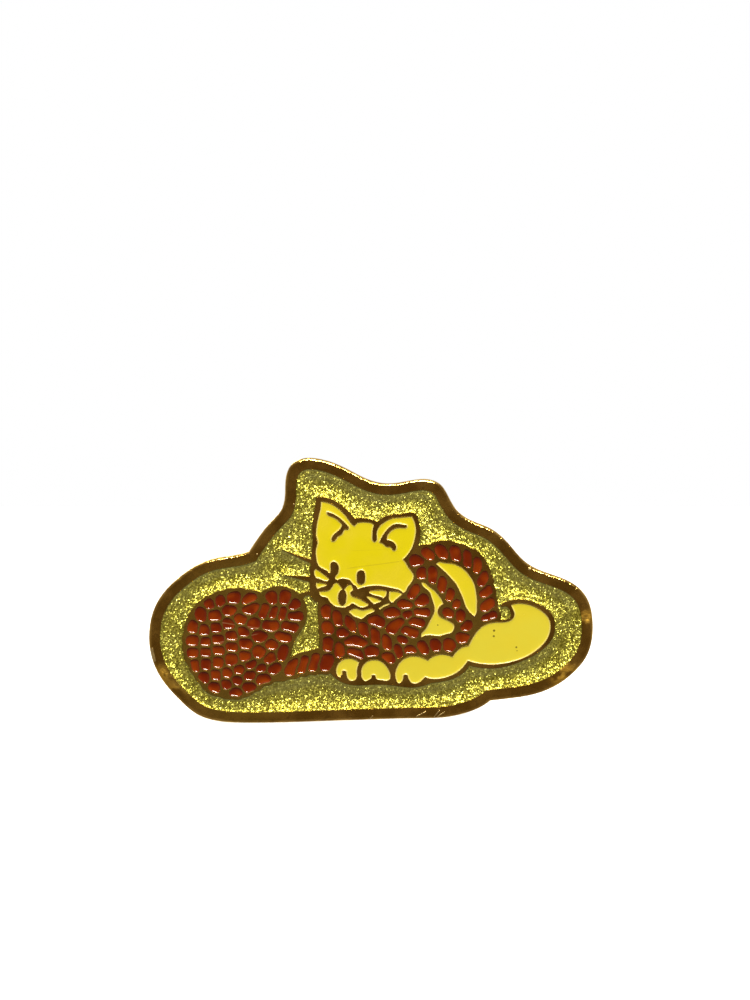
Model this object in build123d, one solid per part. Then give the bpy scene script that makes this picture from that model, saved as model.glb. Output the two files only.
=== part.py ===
"""Enamel pin: a kitten wrapped in yarn beside a ball of wool, with two posts and two butterfly clutches.

The pin stands upright as it is worn. The artwork faces -Y, +Z is up and +X is to the right seen from
the front. The plate's flat back lies on y = 0, so the posts and the clutches stand out along +Y.
"""
from math import cos, copysign, hypot, pi, radians, sin
import os

from build123d import *

# --- Overall size, millimetres ---
pin_width = 32.0
pin_height = 19.1
plate_thickness = 1.5

# --- Struck front ---
rim_width = 0.8           # raised border round the whole pin
line_width = 0.28         # raised lines between the colour cells
recess_depth = 0.45       # floor of a colour cell below the top of the lines
enamel_set = 0.1          # enamel surface below the top of the lines

# --- Posts ---
post_spacing = 13.0       # left post to right post
post_z = -2.9             # both posts above the plate's lower half
post_length = 8.0         # back face to the point
shank_radius = 0.55
flange_radius = 2.2
flange_thickness = 0.3
seat_depth = 0.15         # shallow counterbore that the flange is soldered into
solder_width = 0.4        # ring of solder round the flange
solder_step = 0.05        # solder stops this far short of the flange's top
groove_from_point = 1.85  # snap groove, back from the point
groove_width = 0.5
groove_depth = 0.12
tip_radius = 0.08
tip_fullness = 0.68       # share of the shank's radius left half-way along the point

# --- Butterfly clutches ---
clutch_radius = 5.5
base_thickness = 0.4
rolled_edge_height = 0.9
rolled_edge_width = 0.45
guide_clearance = 0.75    # between the shank and the hole in the clutch's base
sheet = 0.3               # thickness of the folded sheet parts
bend_radius = 1.5 * sheet # inside the wings' bends, at the middle of the sheet
jaw_height = 0.95         # underside of the jaws above the clutch's face
jaw_clearance = 0.05      # jaw notch round the shank
pivot_height = 2.1
pivot_reach = 2.75        # wing pivots from the post's axis
pivot_pin_radius = 0.3
pivot_clearance = 0.08
wing_neck_width = 3.0
wing_width = 5.2
wing_rise = 5.6           # top of the wings above the clutch's face
wing_reach = 5.2          # tip of the wings from the post's axis
cover_height = 3.0
cover_clearance = 0.25    # beside the wing necks
cover_foot = 1.0
tip_clearance = 0.45      # round the post's point in the cover and the spring
ear_corner = 1.0          # rounded corners of the wings

# --- Drawn artwork: x and z in millimetres on a pin of this size, with lines of this width ---
drawn_width = 32.0
drawn_height = 19.1
drawn_line = 0.28
drawn_centre = (-0.01, 0.03)
stitch_squareness = 2.6   # 2 is an ellipse, and more is squarer
stitch_points = 8         # points of the smooth ring round a stitch
bump_height = 0.08        # swelling of the outline at each stitch

cut_past = 1.0            # cutting tools reach this far past what they cut

front_y = -plate_thickness
groove_y = post_length - groove_from_point
clutch_y = groove_y - jaw_height - sheet / 2


def bumpy(points):
    """A span along a row of stitches: between each two points it swells out by bump_height."""
    span = []
    for start, end in zip(points, points[1:]):
        run_x, run_z = end[0] - start[0], end[1] - start[1]
        out = bump_height / hypot(run_x, run_z)
        span += [start, ((start[0] + end[0]) / 2 - out * run_z, (start[1] + end[1]) / 2 + out * run_x)]
    return span + [points[-1]]


# An outline is a list of spans. Each span starts at a sharp corner and runs smoothly to the next one.
PLATE = [
    [(-8.8, 2.85), (-9.9, 2.56), (-11.44, 2.3), (-12.76, 1.75), (-13.97, 0.87), (-14.96, -0.12),
     (-15.62, -1.22), (-15.99, -2.76), (-15.97, -4.08), (-15.62, -5.4), (-14.85, -6.72),
     (-13.86, -7.82), (-12.54, -8.92), (-11, -9.41), (-9.46, -9.52), (-5.5, -9.47), (-1.1, -9.32),
     (3.3, -9.2), (5.5, -9.1), (6.82, -8.81), (7.92, -8.37)],
    [(8.58, -7.93), (9.9, -7.78), (11.66, -7.49), (13.2, -6.9), (14.52, -5.95), (15.51, -4.74),
     (15.95, -3.2), (15.95, -2.1), (15.67, -0.78), (14.96, 0.21), (13.86, 0.87), (12.32, 1.42),
     (11.11, 2.08), (9.9, 3.4), (8.58, 4.5), (7.26, 5.05), (6.16, 5.82), (5.5, 6.92), (4.95, 7.69),
     (4.18, 8.02), (2.64, 7.91), (1.1, 7.73), (-0.22, 8.02), (-1.54, 8.68), (-3.08, 9.34),
     (-3.96, 9.54), (-4.73, 9.56), (-5.72, 9.12), (-6.16, 8.13), (-6.22, 6.92), (-6.49, 5.82),
     (-7.26, 4.94), (-8.14, 3.84)],
]

# Outside of the raised drawing: kitten, loops, tail, legs, strand, ball and three whiskers.
FIGURE = [
    [(-4.4, 0.0)],
    [(-4.42, 0.66)],
    [(-6.3, 1.13)],
    [(-4.44, 1.03), (-4.36, 1.25), (-4.42, 1.5), (-4.34, 1.75)],
    [(-4.34, 1.97)],
    [(-6.42, 2.95)],
    [(-4.28, 2.24), (-4.26, 2.8), (-4.2, 3.5), (-4.24, 4.4), (-4.1, 5.6), (-3.94, 6.76)],
    [(-3.94, 6.76), (-3.2, 6.7), (-2.56, 6.45), (-2.0, 6.08), (-1.52, 5.6), (-1.18, 5.2)],
    [(-1.18, 5.2), (-0.6, 5.24), (0.0, 5.13), (0.48, 4.97)],
    [(0.48, 4.97), (1.04, 5.36), (1.68, 5.52), (2.32, 5.56), (2.85, 5.66), (3.22, 5.5), (3.42, 4.9),
     (3.54, 4.2), (3.46, 3.6), (3.36, 3.16)],
    bumpy([(3.36, 3.16), (4.2, 3.35), (5.2, 3.62), (6.35, 3.4), (7.1, 3.1), (7.8, 2.7), (8.3, 1.95),
           (8.62, 1.2), (8.83, 0.4), (8.97, -0.4), (9.1, -1.15), (9.28, -2.05)]),
    [(9.28, -2.05), (9.75, -2.06), (10.02, -1.88), (10.02, -1.55), (9.85, -1.2), (9.4, -1.17)],
    [(9.4, -1.17), (9.33, -1.0), (9.65, -0.8), (10.24, -0.63), (11.19, -0.65), (12, -0.93),
     (12.66, -1.33), (13.1, -1.91), (13.21, -2.58), (13.1, -3.24), (12.66, -3.9), (11.93, -4.49),
     (10.82, -5.05), (9.72, -5.42), (8.4, -5.57), (7.5, -5.47), (7.05, -5.36)],
    [(7.05, -5.36), (6.64, -5.88), (5.83, -6.32), (4.95, -6.54), (4.3, -6.62)],
    [(4.3, -6.62), (3.6, -6.85), (2.9, -6.95), (1.94, -6.85), (1.2, -6.76), (0.03, -6.75),
     (-1.43, -6.76), (-2.17, -6.54), (-2.61, -6.24), (-2.95, -5.9)],
    bumpy([(-2.95, -5.9), (-3.7, -5.97), (-4.42, -6.02), (-5.1, -6.16), (-5.72, -6.32), (-6.95, -6.55),
           (-7.7, -6.85), (-8.4, -7.3), (-9.2, -7.68), (-9.9, -7.8), (-11, -7.6), (-11.78, -7.3),
           (-12.3, -6.7), (-12.75, -6.1), (-13.15, -5.4), (-13.45, -4.65), (-13.55, -3.8),
           (-13.48, -2.95), (-13.25, -2.1), (-12.8, -1.25), (-12.2, -0.65), (-11.47, -0.27),
           (-10.7, 0.02), (-9.86, 0.18), (-9.02, 0.14), (-7.87, -0.18)]),
    bumpy([(-7.87, -0.18), (-7.3, 0.2), (-6.6, 0.32), (-5.85, 0.18), (-5.25, -0.25)]),
    [(-5.25, -0.25), (-4.8, -0.09), (-4.55, -0.03)],
]

# Background between the ball and the kitten, closed in by the lowest whisker and the strand.
ISLAND = [
    [(-4.9, -0.5), (-4.3, -0.46), (-4.1, -0.72)],
    [(-3.8, -0.8), (-3.84, -1.4), (-3.8, -2.2), (-3.78, -3), (-3.7, -3.6), (-3.72, -4.1)],
    [(-3.72, -4.1), (-4.3, -4.25), (-5.0, -4.42), (-5.82, -4.78)],
    [(-5.82, -4.78), (-5.74, -4.3), (-5.58, -3.75), (-5.27, -3.15), (-4.9, -2.6), (-4.68, -2.0),
     (-4.64, -1.4), (-4.74, -0.9)],
]

HEAD = [
    [(-3.62, 6.45), (-3.1, 6.36), (-2.6, 6.12), (-2.15, 5.75), (-1.75, 5.3), (-1.45, 4.88)],
    [(-1.2, 4.68), (-0.92, 4.93), (-0.5, 4.97), (-0.05, 4.92), (0.2, 4.76)],
    [(0.2, 4.76), (0.1, 4.35), (0.08, 3.9), (0.12, 3.63), (0.25, 3.55), (0.37, 3.64), (0.38, 4),
     (0.44, 4.38), (0.6, 4.65), (0.98, 4.98), (1.4, 5.2), (2, 5.3), (2.5, 5.34), (2.92, 5.38)],
    [(2.92, 5.38), (3.14, 4.9), (3.22, 4.4), (3.15, 3.8), (2.98, 3.2), (2.7, 2.7), (2.29, 2.27)],
    [(2.29, 2.27), (2.5, 2.02), (2.68, 1.7), (2.93, 1.38), (3.05, 1.12), (3.0, 0.82), (2.8, 0.5),
     (2.62, 0.25), (2.5, 0.02), (2.3, -0.14)],
    [(2.3, -0.14), (1.98, 0.08), (1.5, 0.2), (0.9, 0.33), (0.2, 0.38), (-0.4, 0.3), (-0.97, 0.13)],
    [(-0.97, 0.13), (-1.12, 0.34), (-1.34, 0.52), (-1.52, 0.74), (-1.82, 0.86), (-2.14, 0.88),
     (-2.42, 0.76)],
    [(-2.42, 0.76), (-2.6, 0.96), (-2.45, 1.2), (-2.33, 1.5), (-2.38, 1.85), (-2.54, 2.05),
     (-2.74, 2.1), (-2.9, 1.98), (-2.93, 1.7), (-3.0, 1.27)],
    [(-3.0, 1.27), (-3.3, 1.5), (-3.78, 1.8), (-3.95, 2.3), (-4.0, 2.75), (-3.96, 3.1), (-3.86, 3.5),
     (-3.95, 3.9), (-3.95, 4.5), (-3.85, 5.1), (-3.7, 5.7)],
]
EAR_LINES = [
    [[(-3.2, 5.68), (-2.9, 5.6), (-2.5, 5.4), (-2.1, 5.1), (-1.78, 4.78), (-1.62, 4.52)],
     [(-1.7, 4.42), (-1.95, 4.4), (-2.1, 4.12), (-2.4, 3.92), (-2.62, 3.62)],
     [(-2.8, 3.58), (-2.85, 3.75), (-2.72, 4.02), (-2.4, 4.3), (-2.1, 4.75)],
     [(-2.1, 4.75), (-2.4, 5.1), (-2.8, 5.34), (-3.14, 5.52)]],
    [[(2.55, 4.72), (2.2, 4.78), (1.85, 4.82), (1.4, 4.65), (1.05, 4.3), (0.78, 3.9), (0.6, 3.5)],
     [(0.6, 3.5), (0.9, 3.37), (1.12, 3.2), (1.4, 3.16), (1.58, 2.95)],
     [(1.7, 2.92), (1.79, 3.1), (1.72, 3.36), (1.5, 3.55), (1.12, 3.66)],
     [(1.12, 3.66), (1.2, 4.05), (1.45, 4.35), (1.8, 4.54), (2.2, 4.56), (2.55, 4.6)]],
]
RIGHT_EYE = (-0.74, 0.98, 1.0, 0.6, 90)

MUZZLE = [
    [(-2.47, 0.62), (-2.25, 0.4), (-2.06, 0.1)],
    [(-2.06, 0.1), (-2.26, -0.05), (-2.38, -0.35), (-2.38, -0.65), (-2.25, -0.95), (-2.08, -1.04),
     (-1.92, -0.95), (-1.8, -0.6), (-1.78, -0.3), (-1.95, 0.08)],
    [(-1.95, 0.08), (-1.82, 0.28), (-1.62, 0.44), (-1.46, 0.46)],
    [(-1.46, 0.46), (-1.34, 0.25), (-1.3, 0.06), (-1.48, -0.08), (-1.46, -0.27), (-1.0, -0.5),
     (-0.5, -0.75), (-0.16, -0.99)],
    [(-0.16, -0.99), (-0.35, -1.12), (-0.6, -1.2), (-0.85, -1.16), (-1.1, -1.02), (-1.38, -0.9)],
    [(-1.38, -0.9), (-1.6, -1.05), (-1.9, -1.19), (-2.3, -1.18), (-2.62, -1.1), (-2.82, -0.95),
     (-3.0, -0.75), (-3.2, -0.5), (-3.55, -0.4), (-3.74, -0.08)],
    [(-3.74, -0.08), (-3.4, 0.0), (-3.05, 0.06), (-2.87, 0.22), (-2.72, 0.45)],
]
CHEEK_LEFT = [
    [[(-3.98, 1.6), (-3.5, 1.27), (-3.04, 0.88)],
     [(-3.04, 0.88), (-3.08, 0.75), (-3.2, 0.7), (-3.6, 0.8), (-3.97, 0.92)],
     [(-3.97, 0.92), (-4.09, 1.15), (-4.11, 1.42)]],
    [[(-3.94, 0.65), (-3.55, 0.57), (-3.22, 0.4)], [(-3.22, 0.36), (-3.5, 0.28), (-3.88, 0.15)],
     [(-3.88, 0.15), (-3.97, 0.4)]],
]
CHEEK_RIGHT = [
    [[(-0.2, -0.07), (0.05, 0.04), (0.5, 0.07), (0.95, 0.05), (1.1, -0.02)],
     [(1.1, -0.02), (1.08, -0.3), (0.86, -0.53)], [(0.86, -0.53), (0.4, -0.36), (-0.1, -0.18)]],
    [[(1.3, 0.0), (1.7, -0.02), (2.0, -0.08), (2.24, -0.22)],
     [(2.24, -0.22), (2.0, -0.45), (1.7, -0.68), (1.5, -0.83), (1.34, -0.72), (1.27, -0.4)]],
    [[(-0.36, -0.4), (-0.1, -0.38), (0.3, -0.5), (0.79, -0.7)], [(0.79, -0.7), (0.5, -0.86), (0.18, -0.94)],
     [(0.18, -0.94), (-0.1, -0.7)]],
    [[(0.55, -1.22), (0.85, -1.03), (1.12, -0.92), (1.31, -0.9)],
     [(1.31, -0.98), (1.05, -1.09), (0.85, -1.18), (0.6, -1.34)]],
]
CHEST = [
    [(-1.64, -1.5), (-1.4, -1.33), (-1.13, -1.24), (-0.86, -1.32), (-0.6, -1.36), (-0.25, -1.3),
     (0.05, -1.25)],
    [(0.05, -1.25), (0.28, -1.42)],
    [(0.28, -1.42), (0.05, -1.58), (-0.25, -1.7), (-0.5, -1.9), (-0.7, -2.03)],
    [(-0.7, -2.03), (-1.0, -1.93), (-1.27, -1.82), (-1.45, -1.66)],
]
FLANK = [
    [(3.62, 0.6), (3.85, 0.6), (4.1, 0.36), (4.48, 0.1), (4.76, -0.2), (5.0, -0.52), (5.2, -0.93)],
    [(5.2, -0.93), (4.93, -1.12), (4.79, -1.38), (4.8, -1.62), (4.96, -1.84), (5.32, -2.02),
     (5.72, -2.22), (5.95, -2.46), (5.96, -2.72), (5.8, -2.98), (5.4, -3.11), (4.9, -3.24),
     (4.4, -3.2), (3.95, -3.2), (3.62, -3.36)],
    [(3.62, -3.36), (3.64, -3.05), (3.9, -2.75), (4.1, -2.4), (4.3, -2.0), (4.5, -1.62),
     (4.56, -1.25), (4.48, -0.9), (4.34, -0.45), (4.14, -0.02), (3.86, 0.2)],
]
BACK = [
    [(4.67, 1.94), (4.9, 2.1), (5.3, 2.04), (5.8, 1.99), (6.25, 1.84), (6.72, 1.52), (7.13, 1.03),
     (7.39, 0.58), (7.52, 0.05), (7.6, -0.55), (7.6, -1.2), (7.52, -1.7)],
    [(7.42, -1.81), (7.1, -1.56), (6.82, -1.17), (6.66, -0.74), (6.5, -0.3), (6.3, 0.12),
     (6.04, 0.58), (5.76, 0.88), (5.48, 1.2), (5.1, 1.55)],
]
TAIL = [
    [(10.07, -1.0), (10.4, -0.9), (10.85, -0.88), (11.4, -0.98), (12.0, -1.25), (12.5, -1.62),
     (12.82, -2.08), (12.9, -2.55), (12.83, -3.05), (12.57, -3.6), (12.08, -4.12), (11.35, -4.64),
     (10.5, -5.0), (9.6, -5.22), (8.7, -5.3), (7.9, -5.25), (6.95, -5.03)],
    [(6.95, -5.03), (6.62, -5.48), (6.15, -5.88), (5.6, -6.15), (5.0, -6.3), (4.4, -6.33), (3.88, -6.2)],
    [(3.88, -6.2), (3.56, -6.5), (3.2, -6.67), (2.92, -6.62), (2.72, -6.4), (2.63, -6.1)],
    [(2.63, -6.1), (2.46, -6.02), (2.3, -6.12)],
    [(2.3, -6.12), (2.28, -6.38), (2.13, -6.58), (1.97, -6.64), (1.8, -6.42), (1.73, -6.1),
     (1.79, -5.65), (2.02, -5.2), (2.42, -4.84), (2.9, -4.68), (3.4, -4.7), (3.8, -4.84), (4.08, -4.97)],
    [(4.08, -4.97), (4.42, -4.72), (4.8, -4.58), (5.2, -4.55), (5.6, -4.63), (5.85, -4.73)],
    [(5.85, -4.73), (6.05, -4.44), (6.37, -4.14), (7.0, -3.94)],
    [(7.0, -3.94), (7.2, -3.55), (7.5, -3.05), (7.9, -2.62), (8.35, -2.36), (8.8, -2.25),
     (9.4, -2.23), (9.9, -2.15), (10.2, -1.95), (10.3, -1.68), (10.2, -1.35)],
]
PAW_LEFT = [
    [(-2.1, -5.8), (-2.13, -6.05), (-2.31, -6.2), (-2.48, -6.0), (-2.52, -5.7), (-2.4, -5.3),
     (-2.14, -5.0), (-1.75, -4.85), (-1.35, -4.87), (-0.87, -5.13)],
    [(-0.87, -5.13), (-0.95, -5.4), (-1.03, -5.75), (-1.02, -6.15), (-1.14, -6.38), (-1.4, -6.48),
     (-1.62, -6.38), (-1.75, -6.15), (-1.79, -5.82)],
    [(-1.79, -5.82), (-1.94, -5.74)],
]
PAW_RIGHT = [
    [(0.03, -6.1), (-0.02, -6.3), (-0.2, -6.42), (-0.44, -6.49), (-0.62, -6.35), (-0.72, -6.0),
     (-0.69, -5.6), (-0.5, -5.25), (-0.2, -5.02), (0.2, -4.93), (0.6, -5.0), (0.96, -5.25),
     (1.25, -5.65), (1.38, -6.05), (1.33, -6.36), (1.12, -6.47), (0.8, -6.43), (0.44, -6.38), (0.3, -6.1)],
    [(0.3, -6.1), (0.16, -6.05)],
]

# One stitch of yarn: centre x and z, length, width and the tilt of its length in degrees.
YARN = {
    "ball_row_1": [
        (-11.63, -0.99, 0.52, 0.58, 20), (-10.84, -0.76, 0.6, 0.56, 35), (-9.86, -0.56, 0.95, 0.64, 12),
        (-8.83, -0.62, 1, 0.54, 22), (-7.17, -0.55, 0.8, 0.58, 95), (-6.2, -0.54, 0.92, 0.56, 82),
        (-5.57, -1.04, 0.72, 0.52, 48)],
    "ball_row_2": [
        (-12.22, -1.7, 0.8, 0.62, 95), (-11.28, -1.78, 0.8, 0.66, -5), (-10.22, -1.38, 0.84, 0.64, 0),
        (-8.68, -1.26, 1.12, 0.58, 24), (-7.68, -1.4, 1.02, 0.44, 66), (-7.03, -1.58, 0.86, 0.4, 66),
        (-6.38, -1.59, 0.94, 0.38, 76), (-5.5, -1.84, 0.9, 0.62, 3)],
    "ball_row_3": [
        (-12.83, -2.64, 0.78, 0.56, 98), (-12, -2.86, 0.68, 0.66, -12), (-11.17, -2.68, 0.7, 0.66, -10),
        (-10.26, -2.42, 0.76, 0.62, -8), (-9.42, -2.03, 0.8, 0.6, -10), (-8.48, -2.4, 0.8, 0.58, 12),
        (-7.24, -2.5, 1.06, 0.64, 6), (-5.85, -2.58, 1.08, 0.64, -5)],
    "ball_row_4": [
        (-12.84, -3.58, 0.66, 0.7, -10), (-11.9, -3.66, 0.62, 0.62, -10), (-11.05, -3.5, 0.74, 0.66, -12),
        (-10.03, -3.24, 0.74, 0.66, -10), (-9.22, -2.97, 0.7, 0.58, -12), (-8, -3.27, 0.92, 0.62, -6),
        (-6.34, -3.3, 1, 0.56, -4)],
    "ball_row_5": [
        (-12.83, -4.44, 0.62, 0.58, -8), (-11.9, -4.4, 0.62, 0.56, -8), (-11, -4.26, 0.74, 0.54, -8),
        (-10.02, -4.02, 0.78, 0.58, -8), (-9.07, -3.82, 0.82, 0.66, -12), (-7.17, -3.84, 0.76, 0.54, -5)],
    "ball_row_6": [
        (-12.7, -5.41, 0.76, 0.52, 102), (-11.9, -5.29, 0.6, 0.66, -10), (-11.03, -5.16, 0.6, 0.66, -8),
        (-10.03, -4.94, 0.74, 0.74, -10), (-9.08, -4.71, 0.74, 0.6, -12), (-8.07, -4.42, 0.78, 0.66, -6),
        (-6.4, -4.47, 0.98, 0.42, 70)],
    "ball_row_7": [
        (-12.02, -6.24, 0.64, 0.6, -14), (-11.17, -6.07, 0.64, 0.62, -8), (-10.37, -5.94, 0.64, 0.54, -16),
        (-9.52, -5.68, 0.64, 0.52, -10), (-8.64, -5.3, 0.7, 0.46, 18), (-7.3, -4.86, 0.76, 0.52, 26)],
    "ball_row_8": [
        (-11.27, -6.94, 0.68, 0.58, -12), (-10.4, -6.72, 0.66, 0.54, -6), (-9.68, -6.46, 0.6, 0.48, -4),
        (-8.74, -6.1, 0.74, 0.48, 4), (-7.93, -5.56, 0.62, 0.44, 6), (-7, -5.6, 0.82, 0.48, 36)],
    "ball_row_9": [
        (-9.72, -7.32, 0.76, 0.5, -6), (-8.78, -6.96, 0.86, 0.54, -2), (-7.78, -6.36, 0.92, 0.62, 8)],
    "strand": [
        (-5.68, -5.48, 1.2, 0.5, 62), (-4.9, -5.32, 1.16, 0.46, 64), (-4.14, -5.17, 1.14, 0.46, 66),
        (-3.22, -5.12, 1.08, 0.62, 66)],
    "wrap_shoulder": [
        (-3.2, -1.6, 0.88, 0.48, 98), (-3.13, -2.66, 1.04, 0.52, 104), (-3.1, -3.81, 1.02, 0.52, 91),
        (-2.44, -1.99, 1.04, 0.46, 118), (-1.5, -2.4, 1.12, 0.5, 117), (-0.55, -2.83, 1.06, 0.46, 114),
        (0.28, -3.24, 1.06, 0.4, 108), (1.12, -3.74, 1.06, 0.4, 105), (1.94, -4.34, 0.96, 0.38, 101)],
    "wrap_belly": [
        (-1.98, -3.03, 0.74, 0.54, -14), (-1.12, -3.64, 1.5, 0.6, -4), (0, -4.39, 0.8, 0.64, -6),
        (1.3, -4.77, 0.8, 0.52, -22), (-2.29, -4.31, 0.98, 0.48, 99), (-1.12, -4.52, 1.08, 0.52, -26),
        (2.25, -3.51, 0.56, 0.5, -12), (2.84, -4.28, 0.74, 0.46, -6), (3.75, -4.08, 0.84, 0.52, -36),
        (4.65, -3.94, 0.76, 0.64, -22), (5.56, -3.92, 0.76, 0.68, -16)],
    "wrap_hip": [
        (0.37, -2.19, 0.96, 0.54, -24), (1.53, -1.56, 0.98, 0.56, -3), (2.42, -1.01, 0.9, 0.52, -6),
        (1.74, -2.5, 1.36, 0.52, 42), (2.62, -1.7, 0.58, 0.48, 32), (2.75, -2.94, 1.08, 0.54, -13),
        (3.25, -2.24, 0.98, 0.52, -6), (3.6, -1.54, 0.98, 0.52, -2), (3.62, -0.76, 0.86, 0.6, 42),
        (3.02, -0.1, 0.96, 0.44, 62)],
    "loop_outer": [
        (3.31, 2.14, 0.84, 0.64, -6), (4.12, 2.64, 0.88, 0.56, -12), (5.05, 2.78, 1, 0.64, -32),
        (6.05, 2.66, 1, 0.62, 122), (6.92, 2.28, 1.12, 0.44, 106), (7.61, 1.78, 1.06, 0.42, 100),
        (8.03, 0.84, 1.06, 0.48, 84), (8.29, -0.04, 0.88, 0.54, 55), (8.4, -1.02, 1.06, 0.58, 56),
        (8.5, -1.84, 0.94, 0.5, 32)],
    "loop_inner": [
        (3.64, 1.32, 0.84, 0.46, 96), (4.41, 1.12, 1.02, 0.42, 101), (5.1, 0.41, 1.04, 0.44, 101),
        (5.66, -0.3, 0.88, 0.4, 98), (6.12, -0.97, 0.62, 0.4, 108), (5.53, -1.68, 0.62, 0.58, -20),
        (6.43, -1.8, 0.92, 0.4, 102), (6.82, -2.54, 0.76, 0.5, 62), (6.6, -3.36, 0.78, 0.64, -12)],
}


def inset(points, distance):
    """A closed ring of points moved to its inner side; the ring runs clockwise seen from the front."""
    moved = []
    for before, here, after in zip([points[-1]] + points[:-1], points, points[1:] + points[:1]):
        normals = [(end[1] - start[1], start[0] - end[0]) for start, end in ((before, here), (here, after))]
        units = [(nx / hypot(nx, nz), nz / hypot(nx, nz)) for nx, nz in normals]
        sum_x = units[0][0] + units[1][0]
        sum_z = units[0][1] + units[1][1]
        reach = 2 * distance / (sum_x ** 2 + sum_z ** 2)
        moved.append((here[0] + reach * sum_x, here[1] + reach * sum_z))
    return moved


def clean_spans(spans):
    """Drops a span's last point where the next span starts on it."""
    following = spans[1:] + spans[:1]
    return [span[:-1] if span[-1] == nearby[0] else span for span, nearby in zip(spans, following)]


def turned_clockwise(points):
    """True if a ring of points runs clockwise seen from the front."""
    doubled = sum(a[0] * b[1] - b[0] * a[1] for a, b in zip(points, points[1:] + points[:1]))
    return doubled < 0


def inset_spans(spans, distance):
    """An outline moved to its inner side, with its corners kept."""
    ring = [point for span in spans for point in span]
    inward = distance if turned_clockwise(ring) else -distance
    moved = iter(inset(ring, inward))
    return [[next(moved) for _ in span] for span in spans]


def on_pin(point, y):
    """A drawn point at the pin's real size, at depth y."""
    x = (point[0] - drawn_centre[0]) * pin_width / drawn_width
    z = (point[1] - drawn_centre[1]) * pin_height / drawn_height
    return Vector(x, y, z)


def sized_spans(spans):
    """A drawn outline's points at the pin's real size, as x and z."""
    return [[(on_pin(point, 0).X, on_pin(point, 0).Z) for point in span] for span in clean_spans(spans)]


def span_wire(spans, y):
    """The closed wire through sized spans, at depth y."""
    edges = []
    for span, following in zip(spans, spans[1:] + spans[:1]):
        points = [Vector(x, y, z) for x, z in span + following[:1]]
        edges.append(Line(*points) if len(points) == 2 else Spline(*points))
    return Wire(edges)


def stitch_wire(stitch, y):
    """One smooth closed wire round a stitch, a squared ellipse laid along its tilt."""
    x, z, length, width, tilt = stitch
    spread = (drawn_line - line_width) / 2
    points = []
    for step in range(stitch_points):
        turn = 2 * pi * step / stitch_points
        along = (length / 2 + spread) * copysign(abs(cos(turn)) ** (2 / stitch_squareness), cos(turn))
        across = (width / 2 + spread) * copysign(abs(sin(turn)) ** (2 / stitch_squareness), sin(turn))
        place = (x + along * cos(radians(tilt)) - across * sin(radians(tilt)),
                 z + along * sin(radians(tilt)) + across * cos(radians(tilt)))
        points.append(on_pin(place, y))
    return Wire([Spline(*points, periodic=True)])


def cell_wire(spans, y):
    """A colour cell's wire, moved so that the lines round it keep their width."""
    return span_wire(inset_spans(sized_spans(spans), (line_width - drawn_line) / 2), y)


def raised_wire(spans, y):
    """A raised line's own outline inside a cell, which grows as the lines get wider."""
    return span_wire(inset_spans(sized_spans(spans), (drawn_line - line_width) / 2), y)


def slab(face, depth):
    """A flat solid from a face, towards +Y."""
    return extrude(face, amount=depth, dir=(0, 1, 0))


def cell_faces(y):
    """Every colour cell as a face at depth y, by node name."""
    head_islands = [raised_wire(lines, y) for lines in EAR_LINES] + [stitch_wire(RIGHT_EYE, y)]
    rim = span_wire(inset_spans(sized_spans(PLATE), rim_width), y)
    faces = {
        "background_enamel": [Face(rim, [raised_wire(FIGURE, y)])],
        "background_island_enamel": [Face(cell_wire(ISLAND, y))],
        "head_enamel": [Face(cell_wire(HEAD, y), head_islands)],
        "muzzle_enamel": [Face(cell_wire(MUZZLE, y))],
        "left_cheek_enamel": [Face(cell_wire(spans, y)) for spans in CHEEK_LEFT],
        "right_cheek_enamel": [Face(cell_wire(spans, y)) for spans in CHEEK_RIGHT],
        "chest_enamel": [Face(cell_wire(CHEST, y))],
        "flank_enamel": [Face(cell_wire(FLANK, y))],
        "back_enamel": [Face(cell_wire(BACK, y))],
        "left_paw_enamel": [Face(cell_wire(PAW_LEFT, y))],
        "right_paw_enamel": [Face(cell_wire(PAW_RIGHT, y))],
        "tail_enamel": [Face(cell_wire(TAIL, y))],
    }
    for strand, stitches in YARN.items():
        faces["yarn_" + strand + "_enamel"] = [Face(stitch_wire(stitch, y)) for stitch in stitches]
    return faces


def cylinder_y(radius, start, end, x=0.0, z=0.0):
    """A round bar along +Y."""
    return Pos(x, start, z) * Rot(-90, 0, 0) * Cylinder(
        radius, end - start, align=(Align.CENTER, Align.CENTER, Align.MIN))


def block(x_range, y_range, z_range):
    """A box from its limits along X, Y and Z."""
    size = [high - low for low, high in (x_range, y_range, z_range)]
    centre = [(high + low) / 2 for low, high in (x_range, y_range, z_range)]
    return Pos(*centre) * Box(*size)


def base_plate(cells):
    """The struck plate: rim, raised lines and cell floors in one solid, with two seats in the back."""
    plate = slab(Face(span_wire(sized_spans(PLATE), front_y)), plate_thickness)
    recesses = [slab(face, recess_depth) for faces in cells.values() for face in faces]
    seats = [cylinder_y(flange_radius + solder_width, -seat_depth, cut_past, x, post_z)
             for x in (-post_spacing / 2, post_spacing / 2)]
    return plate.cut(*recesses, *seats)


def enamel(faces):
    """Enamel that fills a cell from its floor to just below the tops of the lines."""
    depth = recess_depth - enamel_set
    solids = [Pos(0, enamel_set, 0) * slab(face, depth) for face in faces]
    return solids[0] if len(solids) == 1 else Compound(solids)


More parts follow.
